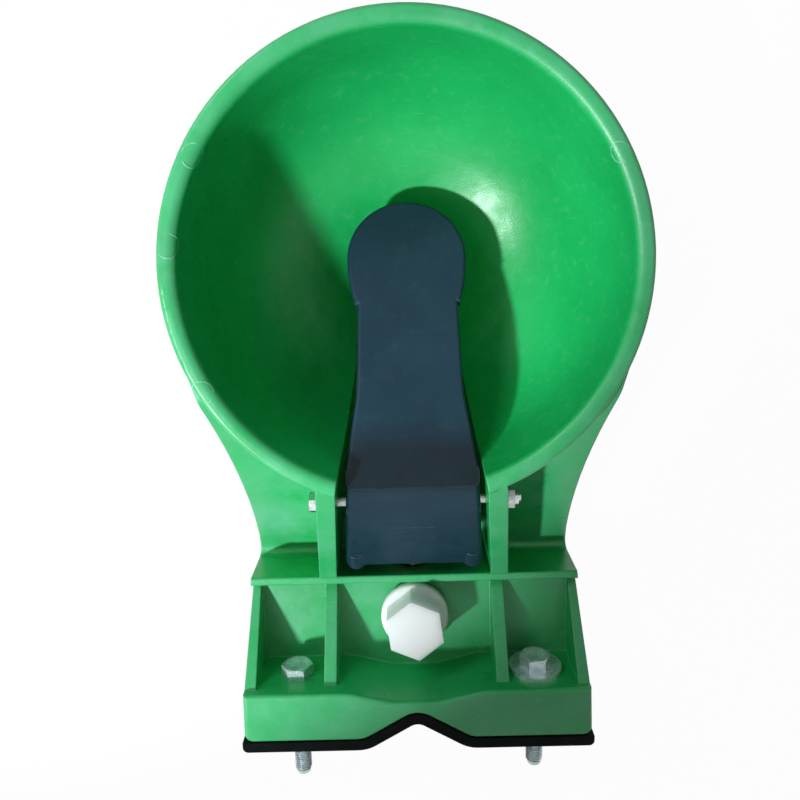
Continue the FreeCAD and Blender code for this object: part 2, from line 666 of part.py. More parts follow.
def mounting_washer():
    front = vec(-BOLT_X, FLANGE_FRONT - WASHER_THICK, 0)
    return ring(front, vec(-BOLT_X, FLANGE_FRONT, 0), WASHER_RADIUS, BOLT_RADIUS + WASHER_PLAY)


def top_plug():
    """White plug: pipe thread, round flange and a tall hexagon."""
    axis = port_axis()
    base = port_seat() + axis * PLUG_GASKET_THICK
    flange = rod(base, base + axis * PLUG_FLANGE_THICK, PLUG_FLANGE_RADIUS)
    rims = [e for e in flange.Edges if e.Closed and e.Length > PLUG_FLANGE_RADIUS]
    flange = flange.makeFillet(PLUG_FLANGE_ROUND, rims)
    top = base + axis * PLUG_FLANGE_THICK
    grip = hex_prism(top, axis, PLUG_HEX_FLATS, PLUG_HEX_HEIGHT, PLUG_HEX_TURN)
    thread = rod(base, base - axis * PLUG_THREAD_LENGTH, PORT_RADIUS - THREAD_GAP)
    bore = rod(base - axis * (PLUG_THREAD_LENGTH + 1), base, PLUG_BORE_RADIUS)
    return fuse([flange, grip, thread]).cut(bore)


def plug_gasket():
    axis = port_axis()
    seat = port_seat()
    outer = PLUG_FLANGE_RADIUS - PLUG_GASKET_THICK / 2
    return ring(seat, seat + axis * PLUG_GASKET_THICK, outer, PORT_RADIUS)


def pivot_bolt():
    seat = vec(PIVOT_SEAT_HALF, PIVOT_Y, PIVOT_Z)
    length = 2 * PIVOT_SEAT_HALF + PIVOT_NUT_THICK + PIVOT_TIP
    head = hex_prism(seat, vec(1, 0, 0), PIVOT_FLATS, PIVOT_HEAD_THICK)
    return fuse([head] + bolt_shank(seat, vec(-1, 0, 0), PIVOT_RADIUS, PIVOT_THREAD_RADIUS,
                                    PIVOT_THREAD_LENGTH, length))


def pivot_nut():
    """Lock nut with a round collar on its outer half."""
    seat = vec(-PIVOT_SEAT_HALF, PIVOT_Y, PIVOT_Z)
    out = vec(-1, 0, 0)
    nut = hex_prism(seat, out, PIVOT_FLATS, PIVOT_NUT_THICK * 2 / 3)
    collar = rod(seat, seat + out * PIVOT_NUT_THICK, PIVOT_COLLAR_RADIUS)
    hole = rod(seat - out, seat + out * (PIVOT_NUT_THICK + 1), PIVOT_THREAD_RADIUS + THREAD_GAP)
    return fuse([nut, collar]).cut(hole)


def pivot_sleeve():
    """Steel tube in the tongue that turns on the bolt."""
    start = vec(TONGUE_SHIFT - tongue_half(PIVOT_Y), PIVOT_Y, PIVOT_Z)
    end = vec(TONGUE_SHIFT + tongue_half(PIVOT_Y), PIVOT_Y, PIVOT_Z)
    return ring(start, end, SLEEVE_RADIUS, SLEEVE_BORE)


def tongue_arm():
    """Arm and head, drawn flat with the crease along X and the nose towards -Y."""
    crease = TONGUE_CREASE_HALF
    neck_y = -(TONGUE_ARM_LENGTH - TONGUE_HEAD_TAIL / 2)
    points = [(crease, -TONGUE_ROOT / 2), (crease, -TONGUE_ROOT),
              (TONGUE_WAIST_HALF, -TONGUE_FLARE), (TONGUE_NECK_HALF, neck_y)]
    points += [(-x, y) for x, y in reversed(points)]
    side = [0, TONGUE_FLARE_ROUND, TONGUE_WAIST_ROUND, 0]
    radii = side + side[::-1]
    arm = plan_prism(points, radii, -TONGUE_ARM_THICK, 0)
    arm = arm.makeFillet(TONGUE_ROUND, top_edges(arm, crease))
    flat = fuse([arm, tongue_head()])
    flat.rotate(vec(0, 0, 0), vec(1, 0, 0), TONGUE_SLOPE)
    flat.translate(vec(TONGUE_SHIFT, -TONGUE_CREASE_REACH, TONGUE_CREASE_HEIGHT))
    return flat


def top_edges(solid, crease):
    """Edges round the upper face, apart from the two ends that meet other pieces."""
    chosen = []
    for edge in solid.Edges:
        span = edge.BoundBox
        flat = span.ZLength < EPS and abs(span.ZMax) < EPS
        if flat and span.XLength <= crease:
            chosen.append(edge)
    return chosen


def tongue_head():
    """Round paddle whose sides draw in a little before the neck."""
    centre_y = -TONGUE_ARM_LENGTH
    tail = TONGUE_HEAD_TAIL
    radius = TONGUE_HEAD_RADIUS
    end_half = TONGUE_NECK_HALF + TONGUE_HEAD_STEP
    side_radius = (tail * tail + (radius - end_half) ** 2) / (2 * (radius - end_half))
    half_turn = math.asin(tail / side_radius) / 2
    bulge_x = radius - side_radius * (1 - math.cos(half_turn))
    bulge_y = centre_y + side_radius * math.sin(half_turn)
    left = vec(-radius, centre_y, 0)
    right = vec(radius, centre_y, 0)
    tail_right = vec(end_half, centre_y + tail, 0)
    tail_left = vec(-end_half, centre_y + tail, 0)
    edges = [Part.Arc(left, vec(0, centre_y - radius, 0), right).toShape(),
             Part.Arc(right, vec(bulge_x, bulge_y, 0), tail_right).toShape(),
             Part.makeLine(tail_right, tail_left),
             Part.Arc(tail_left, vec(-bulge_x, bulge_y, 0), left).toShape()]
    face = Part.Face(Part.Wire(Part.__sortEdges__(edges)))
    head = face.extrude(vec(0, 0, -TONGUE_HEAD_THICK))
    rims = [e for e in head.Edges if e.BoundBox.ZLength < EPS]
    return head.makeFillet(TONGUE_ROUND, rims)


def block_profile():
    """Side view of the block: the root of the arm, the crease and the slope to the rear."""
    slope = math.radians(TONGUE_SLOPE)
    crease = (-TONGUE_CREASE_REACH, TONGUE_CREASE_HEIGHT)
    rear = (-TONGUE_REAR_REACH, TONGUE_REAR_HEIGHT)
    rear_low = (-TONGUE_REAR_REACH, TONGUE_REAR_HEIGHT - TONGUE_BLOCK_DEPTH)
    front_low = (PIVOT_Y - SLEEVE_RADIUS - TONGUE_CHEEK / 2, PIVOT_Z - SLEEVE_RADIUS - TONGUE_CHEEK)
    along = (math.cos(slope), math.sin(slope))
    root = (crease[0] - TONGUE_ROOT * along[0], crease[1] - TONGUE_ROOT * along[1])
    under = (root[0] + TONGUE_ARM_THICK * along[1], root[1] - TONGUE_ARM_THICK * along[0])
    return [crease, rear, rear_low, front_low, under, root]


def block_top_z(y):
    """Height of the block's sloping upper face."""
    fall = (TONGUE_CREASE_HEIGHT - TONGUE_REAR_HEIGHT) / (TONGUE_CREASE_REACH - TONGUE_REAR_REACH)
    return TONGUE_CREASE_HEIGHT - fall * (y + TONGUE_CREASE_REACH)


def tongue_hollow(front_y, rear_y):
    """The space inside the block, open below."""
    fall = (block_top_z(front_y) - block_top_z(rear_y)) / (rear_y - front_y)
    drop = TONGUE_PLATE * math.sqrt(1 + fall * fall)
    inner = [(front_y, block_top_z(front_y) - drop), (rear_y, block_top_z(rear_y) - drop),
             (rear_y, -BIG), (front_y, -BIG)]
    radii = [TONGUE_ROUND, TONGUE_ROUND, 0, 0]
    return side_prism(inner, radii, -RIM_RADIUS, RIM_RADIUS).common(block_plan(TONGUE_CHEEK))


def tongue_half(y):
    """Half the block's width, which grows from the crease to the rear."""
    share = (y + TONGUE_CREASE_REACH) / (TONGUE_CREASE_REACH - TONGUE_REAR_REACH)
    return TONGUE_CREASE_HALF + (TONGUE_HALF_WIDTH - TONGUE_CREASE_HALF) * min(max(share, 0), 1)


def block_plan(inset):
    """Plan of the block, narrower at the crease."""
    front = TONGUE_CREASE_HALF - inset
    rear = TONGUE_HALF_WIDTH - inset
    side = [(front, -BIG), (front, -TONGUE_CREASE_REACH), (rear, -TONGUE_REAR_REACH), (rear, 0)]
    other = [(-x, y) for x, y in reversed(side)]
    radii = [0, TONGUE_CREASE_ROUND, 0, 0]
    prism = plan_prism(side + other, radii + radii[::-1], -BIG, BIG)
    prism.translate(vec(TONGUE_SHIFT, 0, 0))
    return prism


def corner_bosses():
    """Round bosses that lie along the slope at the two rear corners of the block."""
    slope = math.atan2(TONGUE_CREASE_HEIGHT - TONGUE_REAR_HEIGHT,
                       TONGUE_CREASE_REACH - TONGUE_REAR_REACH)
    down = vec(0, math.cos(slope), -math.sin(slope))
    normal = vec(0, math.sin(slope), math.cos(slope))
    half = TONGUE_HALF_WIDTH - TONGUE_BOSS_RADIUS - TONGUE_BOSS_PROUD / 2
    bosses = []
    for x in (TONGUE_SHIFT - half, TONGUE_SHIFT + half):
        end = vec(x, -TONGUE_REAR_REACH, TONGUE_REAR_HEIGHT) + down * TONGUE_BOSS_PROUD
        end = end - normal * (TONGUE_BOSS_RADIUS - TONGUE_BOSS_PROUD)
        boss = rod(end - down * TONGUE_BOSS_LENGTH, end, TONGUE_BOSS_RADIUS)
        rims = [e for e in boss.Edges if e.Closed]
        bosses.append(boss.makeFillet(TONGUE_BOSS_PROUD / 2, rims))
    return bosses


def slope_edges(block):
    """The two long edges beside the sloping upper face."""
    fall = (TONGUE_CREASE_HEIGHT - TONGUE_REAR_HEIGHT) / 2
    chosen = []
    for edge in block.Edges:
        middle = edge.CenterOfMass
        if edge.BoundBox.ZLength > fall and abs(middle.z - block_top_z(middle.y)) < EPS:
            chosen.append(edge)
    return chosen


def tongue_web(points, low):
    """Cross wall under the plate that carries the finger."""
    half = TONGUE_CREASE_HALF - TONGUE_CHEEK / 2
    rear = stem_tip_y() - LINK_GAP
    web = box(TONGUE_SHIFT - half, TONGUE_SHIFT + half, rear - LUG_THICK, rear, low,
              TONGUE_CREASE_HEIGHT)
    return web.common(side_prism(points, [0] * len(points), -BIG, BIG))


def tongue_finger():
    """Finger that reaches down in front of the stem and pushes it."""
    rear = stem_tip_y() - LINK_GAP
    low = VALVE_HEIGHT - LUG_BELOW_STEM
    finger = box(-LUG_HALF_WIDTH, LUG_HALF_WIDTH, rear - LUG_THICK, rear, low, PIVOT_Z)
    ends = [e for e in finger.Edges if e.BoundBox.YLength < EPS and e.BoundBox.ZMax < low + EPS]
    return finger.makeFillet(LUG_THICK / 3, ends)


def tongue_block():
    """Hollow block that covers the valve, with side walls, corner bosses and the finger."""
    points = block_profile()
    rear_low, front_low, under = points[2:5]
    radii = [0, TONGUE_REAR_ROUND, TONGUE_ROUND, TONGUE_CHIN_ROUND, 0, 0]
    left = TONGUE_SHIFT - tongue_half(PIVOT_Y)
    right = TONGUE_SHIFT + tongue_half(PIVOT_Y)
    wall_y = rear_low[0] - TONGUE_CHEEK
    block = side_prism(points, radii, -RIM_RADIUS, RIM_RADIUS).common(block_plan(0))
    block = block.makeFillet(TONGUE_SIDE_ROUND, slope_edges(block))
    block = block.cut(tongue_hollow(under[0] + TONGUE_CHEEK, wall_y))
    hub = rod(vec(left, PIVOT_Y, PIVOT_Z), vec(right, PIVOT_Y, PIVOT_Z),
              SLEEVE_RADIUS + TONGUE_CHEEK / 2)
    web = tongue_web(points, front_low[1])
    block = fuse([block, hub, web, tongue_finger()] + corner_bosses())
    arch_r = VALVE_HEX_FLATS / math.sqrt(3) + TONGUE_ARCH_PLAY
    return block.cut(rod(on_valve(wall_y - 1), on_valve(0), arch_r))


def tongue_lever():
    solid = tongue_arm().fuse(tongue_block())
    bore = rod(vec(-BIG, PIVOT_Y, PIVOT_Z), vec(BIG, PIVOT_Y, PIVOT_Z), SLEEVE_RADIUS)
    return solid.cut(bore)


def on_valve(y):
    return vec(0, y, VALVE_HEIGHT)


def valve_hex_y():
    """Front face of the valve's hexagon."""
    return RIDGE_Y0 - VALVE_GASKET_THICK - VALVE_HEX_THICK


def valve_nose_y():
    return valve_hex_y() - VALVE_BARREL_LENGTH - VALVE_NOSE_LENGTH


def valve_end_y():
    return RIDGE_Y0 + VALVE_THREAD_LENGTH


def stem_tip_y():
    return valve_nose_y() - STEM_TIP_OUT


def seat_y():
    """Rear face of the seat ring, which the seal closes."""
    return valve_hex_y() + VALVE_HEX_THICK / 2


def valve_body():
    """Brass body: hexagon, threaded end, barrel, nose and the side spouts."""
    seat = RIDGE_Y0 - VALVE_GASKET_THICK
    hexagon = hex_prism(on_valve(seat), vec(0, -1, 0), VALVE_HEX_FLATS, VALVE_HEX_THICK)
    thread = rod(on_valve(seat - 1), on_valve(valve_end_y()), VALVE_THREAD_RADIUS)
    barrel_end = valve_hex_y() - VALVE_BARREL_LENGTH
    barrel = rod(on_valve(barrel_end), on_valve(valve_hex_y() + 1), VALVE_BARREL_RADIUS)
    nose = rod(on_valve(valve_nose_y()), on_valve(barrel_end + 1), VALVE_NOSE_RADIUS)
    solid = fuse([hexagon, thread, barrel, nose])
    seat_front = seat_y() - SEAT_THICK
    throat_end = barrel_end + VALVE_NOSE_WALL
    cuts = [rod(on_valve(seat_front), on_valve(valve_end_y() + 1), VALVE_BORE_RADIUS),
            rod(on_valve(throat_end), on_valve(seat_front + 1), VALVE_THROAT_RADIUS),
            rod(on_valve(valve_nose_y() - 1), on_valve(throat_end + 1), STEM_RADIUS + SLIDE_GAP)]
    spout_y = throat_end + VALVE_SPOUT_RADIUS + VALVE_SPOUT_SET
    for i in range(VALVE_SPOUTS):
        angle = 2 * math.pi * (i + 0.5) / VALVE_SPOUTS
        reach = vec(math.cos(angle), 0, math.sin(angle)) * (VALVE_BARREL_RADIUS + 1)
        cuts.append(rod(on_valve(spout_y), on_valve(spout_y) + reach, VALVE_SPOUT_RADIUS))
    return solid.cut(cuts[0].multiFuse(cuts[1:]))


def valve_gasket():
    return ring(on_valve(RIDGE_Y0 - VALVE_GASKET_THICK), on_valve(RIDGE_Y0),
                VALVE_THREAD_RADIUS + VALVE_GASKET_LIP, VALVE_THREAD_RADIUS + THREAD_GAP)


def valve_seat():
    """Nylon ring at the bottom of the bore."""
    return ring(on_valve(seat_y() - SEAT_THICK), on_valve(seat_y()),
                VALVE_BORE_RADIUS - THREAD_GAP, VALVE_THROAT_RADIUS)


def seal_front_y():
    return seat_y() + SEAT_GAP


def valve_seal():
    return ring(on_valve(seal_front_y()), on_valve(seal_front_y() + SEAL_THICK),
                SEAL_RADIUS, STEM_RADIUS)


def seal_washer():
    start = seal_front_y() + SEAL_THICK
    return ring(on_valve(start), on_valve(start + SEAL_WASHER_THICK), SEAL_RADIUS, STEM_RADIUS)


def stem_head_y():
    return seal_front_y() + SEAL_THICK + SEAL_WASHER_THICK


def valve_stem():
    """Stainless pin with a rounded tip and a riveted head behind the seal."""
    tip = rod(on_valve(stem_tip_y()), on_valve(stem_head_y()), STEM_RADIUS)
    ends = [e for e in tip.Edges if abs(e.BoundBox.YMax - stem_tip_y()) < EPS]
    tip = tip.makeFillet(STEM_RADIUS / 2, ends)
    head_end = on_valve(stem_head_y() + STEM_HEAD_THICK)
    head = rod(on_valve(stem_head_y()), head_end, STEM_RIVET_RADIUS)
    return fuse([tip, head])


def spring_cap():
    """Slotted cap pressed into the rear of the valve, where the water comes in."""
    y1 = valve_end_y()
    y0 = y1 - CAP_THICK
    cap = ring(on_valve(y0), on_valve(y1), VALVE_BORE_RADIUS - THREAD_GAP, CAP_HOLE_RADIUS)
    middle = (VALVE_BORE_RADIUS + CAP_HOLE_RADIUS) / 2
    for i in range(CAP_SLOTS):
        angle = 2 * math.pi * i / CAP_SLOTS
        reach = vec(math.cos(angle), 0, math.sin(angle)) * middle
        slot = rod(on_valve(y0 - 1) + reach, on_valve(y1 + 1) + reach, CAP_SLOT_RADIUS)
        cap = cap.cut(slot)
    return cap


def valve_spring():
    """Coil between the sealing washer and the cap."""
    start = stem_head_y() + SPRING_WIRE + SEAT_GAP
    end = valve_end_y() - CAP_THICK - SPRING_WIRE - SEAT_GAP
    coil_r = (STEM_RIVET_RADIUS + VALVE_BORE_RADIUS) / 2
    height = end - start
    path = Part.makeHelix(height / SPRING_TURNS, height, coil_r)
    profile = Part.Wire(Part.makeCircle(SPRING_WIRE, vec(coil_r, 0, 0), vec(0, 1, 0)))
    coil = Part.Wire(path).makePipeShell([profile], True, True)
    coil.rotate(vec(0, 0, 0), vec(1, 0, 0), -90)
    coil.translate(on_valve(start))
    return coil


PIECES = {
    "bowl_body": bowl_body,
    "tongue_lever": tongue_lever,
    "pivot_sleeve": pivot_sleeve,
    "pivot_bolt": pivot_bolt,
    "pivot_nut": pivot_nut,
    "valve_body": valve_body,
    "valve_gasket": valve_gasket,
    "valve_seat": valve_seat,
    "valve_stem": valve_stem,
    "valve_seal": valve_seal,
    "seal_washer": seal_washer,
    "valve_spring": valve_spring,
    "spring_cap": spring_cap,
    "top_plug": top_plug,
    "plug_gasket": plug_gasket,
    "mounting_bolts": mounting_bolts,
    "mounting_washer": mounting_washer,
    "wall_gasket": wall_gasket,
}


def main():
    os.makedirs("parts", exist_ok=True)
    for name, make in PIECES.items():
        shape = make()
        shape.exportStep("parts/" + name + ".step")
        size = shape.BoundBox
        print(name, len(shape.Solids), shape.isValid(), round(shape.Volume / 1000, 2), size)


main()
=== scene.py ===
"""Looks of the livestock drinking bowl, in metres, in the part's own frame."""

import json
import math

import bpy
from mathutils import Matrix, Vector

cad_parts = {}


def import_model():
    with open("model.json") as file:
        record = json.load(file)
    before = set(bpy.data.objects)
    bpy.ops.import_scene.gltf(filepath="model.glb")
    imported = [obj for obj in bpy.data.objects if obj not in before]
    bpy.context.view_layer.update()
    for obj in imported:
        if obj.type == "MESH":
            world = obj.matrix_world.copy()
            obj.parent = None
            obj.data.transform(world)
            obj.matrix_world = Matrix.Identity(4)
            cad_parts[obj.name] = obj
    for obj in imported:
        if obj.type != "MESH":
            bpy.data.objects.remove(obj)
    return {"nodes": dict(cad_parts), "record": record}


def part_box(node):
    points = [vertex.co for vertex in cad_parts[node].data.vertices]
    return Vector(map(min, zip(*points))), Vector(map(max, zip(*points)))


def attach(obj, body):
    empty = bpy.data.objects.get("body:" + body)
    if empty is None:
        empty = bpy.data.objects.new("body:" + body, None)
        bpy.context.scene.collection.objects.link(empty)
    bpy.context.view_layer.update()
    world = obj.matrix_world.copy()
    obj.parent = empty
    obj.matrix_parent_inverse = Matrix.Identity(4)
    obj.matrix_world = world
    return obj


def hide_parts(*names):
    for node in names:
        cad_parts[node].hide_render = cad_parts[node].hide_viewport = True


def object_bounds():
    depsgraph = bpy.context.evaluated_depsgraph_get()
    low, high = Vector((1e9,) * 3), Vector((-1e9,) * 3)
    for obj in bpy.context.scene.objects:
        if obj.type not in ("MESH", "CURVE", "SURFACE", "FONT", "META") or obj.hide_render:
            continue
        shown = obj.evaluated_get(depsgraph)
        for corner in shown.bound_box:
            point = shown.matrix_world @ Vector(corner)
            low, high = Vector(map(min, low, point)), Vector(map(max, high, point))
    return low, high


# Camera, from the landmarks of the part in the photograph, with its angles in degrees
CAMERA_AT = (0.0002, -0.2920, 0.3989)
CAMERA_TILT = 13.49      # from straight down towards the wall
CAMERA_YAW = -0.64
CAMERA_ROLL = 1.54
CAMERA_LENS = 34.87      # millimetres, as is the sensor
CAMERA_SENSOR = 36.0

# Key lamp, high above the side of the pivot bolt's head, with the edge of its cone on the flange
KEY_AT = (0.58, 0.14, 0.79)
KEY_AIM = (0.296, -0.258, 0.0)
KEY_RADIUS = 0.04
KEY_POWER = 46.0         # watts
KEY_CONE = 44.0          # degrees across
KEY_SOFT = 0.07          # share of the cone that fades out

# Fill lamp, wide and weak, on the same side in front of the bowl
FILL_AT = (0.75, -0.95, 0.55)
FILL_AIM = (0.0, -0.20, 0.0)
FILL_SIZE = 0.5
FILL_POWER = 3.2         # watts

# Surroundings
LAMP_COLOUR = (0.90, 0.98, 1.0)
SKY = 0.15               # strength of the sky's light, which looks plain white itself
FLOOR_HALF = 4.0
FLOOR_COLOUR = (0.9, 0.9, 0.9, 1)
FLOOR_ROUGH = 0.9
FLOOR_GLOW = 0.97        # share of the floor that is plain white where it is seen directly

# Bolts: "radius" is that of the shank and the thread's crest, "thread" the threaded length
MOUNTING = {"flats": 0.016, "head": 0.0064, "radius": 0.00493, "pitch": 0.0015, "thread": 0.033}
PIVOT = {"flats": 0.010, "head": 0.004, "radius": 0.00294, "pitch": 0.001, "thread": 0.018}

# Head of a bolt
STEPS = 48               # faces round a turned form
HEAD_BEVEL = math.radians(28)
HEAD_TOP = 0.96          # radius inside the bevel, as a share of half the flats
HEAD_DISH = ((1.0, 1.0), (0.80, 1.0), (0.70, 0.94), (0.05, 0.93))   # shares of it and of the height
SHARP_FROM = math.radians(35)

# Thread of a bolt, in pitches
THREAD_DEPTH = 0.61
THREAD_SINK = 0.02       # foot of the ridge inside the root
THREAD_SHORT = 2.5       # how much shorter the ridge is than the thread
THREAD_FADE = 0.5        # turns in which the ridge rises from the root
THREAD_PROFILE = ((-0.5, 0.0), (-0.08, 1.0), (0.08, 1.0), (0.5, 0.0))   # along, and share of depth
TIP_SHARE = 0.9          # radius of the tip, as a share of the root's

# Round mould marks on the rim: x and y from the rim's centre, and radius
MARKS = ((0.0924, -0.0546, 0.0056),
         (0.1078, -0.0159, 0.0056),
         (0.0984, 0.0531, 0.0056),
         (-0.0961, -0.0508, 0.0046))
MARK_LINE = 0.0005       # the line has faded out this far from its circle
MARK_TINT = 0.55
MARK_DEPTH = 0.0002

# Dust and painted sheen on faces that look up, outside the trough
DUST_SHEEN_INSET = 0.012       # dust and painted sheen start this far inside the rim's edge
DUST_SHEEN_FADE = 0.004
DUST_SHEEN_UP = (0.60, 0.86)   # upward part of a face's normal where the dust and painted sheen begin and are full
DUST_SHEEN_COVER = (0.05, 0.16)
PATCH_AT = (0.080, -0.122, -0.025)   # pale patch on the left shoulder, partly painted sheen and partly chalky scuffs
PATCH_RADIUS = 0.026
PATCH_CORE = 0.3         # share of the radius where it is full
PATCH_COVER = 0.22

# Painted shade along Y
SHADE_BAND_Y = (-0.110, -0.060)        # painted shade: the moulding darkens towards the wall along this stretch, over the pockets and the flange
WALL_SHADE_AMOUNT = 0.2
HINGE_BAND = (-0.190, -0.174)        # painted shade: the tongue darkens along this stretch, across the lower arm by the hinge
HINGE_TONE = 0.3
CREASE_BAND = (-0.158, -0.153)       # and the painted shade lifts again along this one, by this much, which leaves the block darker than the head
CREASE_TONE = 0.45

# Rounded and rubbed edges; the rubbed edges are partly wear and partly a painted highlight
BEVEL_SAMPLES = 6
EDGE_TURN = (0.995, 0.90)            # cosine between rounded and true normal, off and on an edge
GREEN_EDGE = 0.0012
TONGUE_EDGE = 0.0016

# Roughness, least and most, and the band of noise that it follows
ROUGH_BAND = (0.3, 0.7)
GREEN_ROUGH = (0.26, 0.42)
TONGUE_ROUGH = (0.34, 0.52)
NYLON_ROUGH = (0.30, 0.42)
RUBBER_ROUGH = (0.55, 0.75)

# Grains of a skin, each the scale of its noise and its depth
GRAIN_DETAIL = 3
GREEN_GRAINS = ((1300, 0.00006), (120, 0.00016))
TONGUE_GRAINS = ((1700, 0.00004), (140, 0.00014))
NYLON_GRAINS = ((300, 0.00005),)
RUBBER_GRAINS = ((900, 0.00008),)

# Colours, linear: where there are two, the surface wanders between them
WHITE = (1, 1, 1, 1)
BLACK = (0, 0, 0, 1)
GREEN = ((0.009, 0.410, 0.100, 1), (0.014, 0.490, 0.128, 1))
GREEN_BLOT = (0.16, 0.60, 0.30, 1)
GREEN_SCRATCH = (0.22, 0.62, 0.36, 1)
# rubbed edges, partly a painted highlight
GREEN_WORN_AND_HIGHLIGHT = (0.26, 0.66, 0.42, 1)
# colour of the pale dust and painted sheen on faces that look up
GREEN_DUST_AND_SHEEN = (0.45, 0.75, 0.72, 1)
# colour of the painted shade towards the wall
GREEN_WALL_SHADE = (0.004, 0.05, 0.01, 1)
GREEN_MARK = (0.30, 0.78, 0.50, 1)
TONGUE = ((0.007, 0.032, 0.054, 1), (0.013, 0.045, 0.073, 1))
TONGUE_BLOT = (0.05, 0.09, 0.11, 1)
# rubbed edges, partly a painted highlight
TONGUE_WORN_AND_HIGHLIGHT = (0.10, 0.17, 0.22, 1)
NYLON = ((0.96, 0.98, 0.98, 1), (0.76, 0.81, 0.79, 1))
RUBBER = ((0.002, 0.003, 0.003, 1), (0.02, 0.024, 0.024, 1))

# Gloss of what isn't metal
GREEN_SPECULAR = 0.42
TONGUE_SPECULAR = 0.24
RUBBER_SPECULAR = 0.05

# Light that wanders inside the nylon
NYLON_INNER = 0.9
NYLON_SPREAD = (1.0, 1.0, 1.0)
NYLON_REACH = 0.010

# Metals: "share" is how far each is metal, less on the dull zinc
METALS = {"zinc_steel": {"tints": ((0.64, 0.74, 0.76, 1), (0.46, 0.54, 0.56, 1)),
                         "rough": (0.22, 0.40), "grain": 300, "depth": 0.00005, "share": 0.6},
          "stainless": {"tints": ((0.62, 0.64, 0.64, 1), (0.44, 0.46, 0.46, 1)),
                        "rough": (0.20, 0.34), "grain": 400, "depth": 0.00002, "share": 1.0},
          "brass": {"tints": ((0.20, 0.15, 0.06, 1), (0.09, 0.08, 0.04, 1)),
                    "rough": (0.50, 0.66), "grain": 260, "depth": 0.00003, "share": 1.0}}


def add(tree, kind, inputs=None, **settings):
    """Adds a node, with its settings and with values or links for its inputs."""
    made = tree.nodes.new(kind)
    for key, value in settings.items():
        setattr(made, key, value)
    for key, value in (inputs or {}).items():
        if isinstance(value, bpy.types.NodeSocket):
            tree.links.new(value, made.inputs[key])
        else:
            made.inputs[key].default_value = value
    return made


def maths(tree, operation, *values):
    """Result of one operation on numbers or links."""
    return add(tree, "ShaderNodeMath", dict(enumerate(values)), operation=operation).outputs[0]


def mix(tree, share, first, second):
    """Colour between two: the node's sockets 6 and 7 take them, and output 2 gives it."""
    made = add(tree, "ShaderNodeMix", {0: share, 6: first, 7: second}, data_type="RGBA")
    return made.outputs[2]


def ramp(tree, value, low, high, start=0.0, end=1.0):
    """Carries low..high of the value to start..end, and stops there."""
    return add(tree, "ShaderNodeMapRange", {"Value": value, "From Min": low, "From Max": high,
                                            "To Min": start, "To Max": end}).outputs["Result"]


def place_of(tree):
    """The point's place in the part's own frame."""
    return add(tree, "ShaderNodeTexCoord").outputs["Object"]


def noise(tree, scale, detail, stretch=None):
    """Value of a noise pattern, which may be turned and squeezed first."""
    place = place_of(tree)
    if stretch:
        place = add(tree, "ShaderNodeMapping", {"Vector": place, **stretch}).outputs[0]
    return add(tree, "ShaderNodeTexNoise",
               {"Vector": place, "Scale": scale, "Detail": detail}).outputs["Fac"]


def patches(tree, scale, detail, band, amount=(0.0, 1.0), stretch=None):
    """Noise whose values in the band are carried to the amount."""
    return ramp(tree, noise(tree, scale, detail, stretch), *band, *amount)


def along_y(tree, band, start, end):
    """Goes from start to end along one stretch of Y."""
    y = add(tree, "ShaderNodeSeparateXYZ", {0: place_of(tree)}).outputs["Y"]
    return ramp(tree, y, *band, start, end)


def away_from(tree, point, flatten=1.0):
    """Distance from a point, or from the upright axis through it where flatten is nought."""
    place = add(tree, "ShaderNodeVectorMath", {0: place_of(tree), 1: (1, 1, flatten)},
                operation="MULTIPLY").outputs[0]
    point = (point[0], point[1], point[2] * flatten)
    return add(tree, "ShaderNodeVectorMath", {0: place, 1: point},
               operation="DISTANCE").outputs["Value"]


def rounded(tree, radius):
    """Normal of a surface whose edges are rounded."""
    return add(tree, "ShaderNodeBevel", {"Radius": radius},
               samples=BEVEL_SAMPLES).outputs["Normal"]


def edge_mask(tree, radius):
    """One along outer and inner edges, nought on open faces."""
    soft = rounded(tree, radius)
    flat = add(tree, "ShaderNodeNewGeometry").outputs["Normal"]
    dot = add(tree, "ShaderNodeVectorMath", {0: soft, 1: flat}, operation="DOT_PRODUCT")
    return ramp(tree, dot.outputs["Value"], *EDGE_TURN)


def layered(tree, tint, layers):
    """Lays one colour after another over the tint, each by its share."""
    for share, colour in layers:
        tint = mix(tree, share, tint, colour)
    return tint


def bump(tree, height, depth, normal=None):
    """Normal of a surface raised by the height, on top of an earlier normal."""
    inputs = {"Height": height, "Distance": depth, "Strength": 1.0}
    if normal:
        inputs["Normal"] = normal
    return add(tree, "ShaderNodeBump", inputs).outputs["Normal"]


def grained(tree, grains, normal=None):
    """Normal of a surface with one or more grains."""
    for scale, depth in grains:
        normal = bump(tree, noise(tree, scale, GRAIN_DETAIL), depth, normal)
    return normal


def blank(name):
    """A new material, its node tree and its principled shader."""
    material = bpy.data.materials.new(name)
    material.use_nodes = True
    tree = material.node_tree
    return material, tree, tree.nodes["Principled BSDF"]


def wire(tree, shader, colour, rough, normal):
    """Links what varies over the surface to the shader."""
    tree.links.new(colour, shader.inputs["Base Color"])
    tree.links.new(rough, shader.inputs["Roughness"])
    tree.links.new(normal, shader.inputs["Normal"])


def level_dust_and_sheen(tree, centre, radius):
    """Share of pale dust and painted sheen on faces that look up, more of it in the patch on the
    left shoulder.
    """
    normal = add(tree, "ShaderNodeNewGeometry").outputs["Normal"]
    up = add(tree, "ShaderNodeSeparateXYZ", {0: normal}).outputs["Z"]
    start = radius - DUST_SHEEN_INSET
    outside = ramp(tree, away_from(tree, centre, 0.0), start, start + DUST_SHEEN_FADE)
    patch = ramp(tree, away_from(tree, PATCH_AT), PATCH_RADIUS * PATCH_CORE, PATCH_RADIUS,
                 PATCH_COVER, 0)
    cover = patches(tree, scale=45, detail=4, band=(0.35, 0.65), amount=DUST_SHEEN_COVER)
    level = maths(tree, "MULTIPLY", ramp(tree, up, *DUST_SHEEN_UP), outside)
    return maths(tree, "MULTIPLY", level, maths(tree, "ADD", cover, patch))


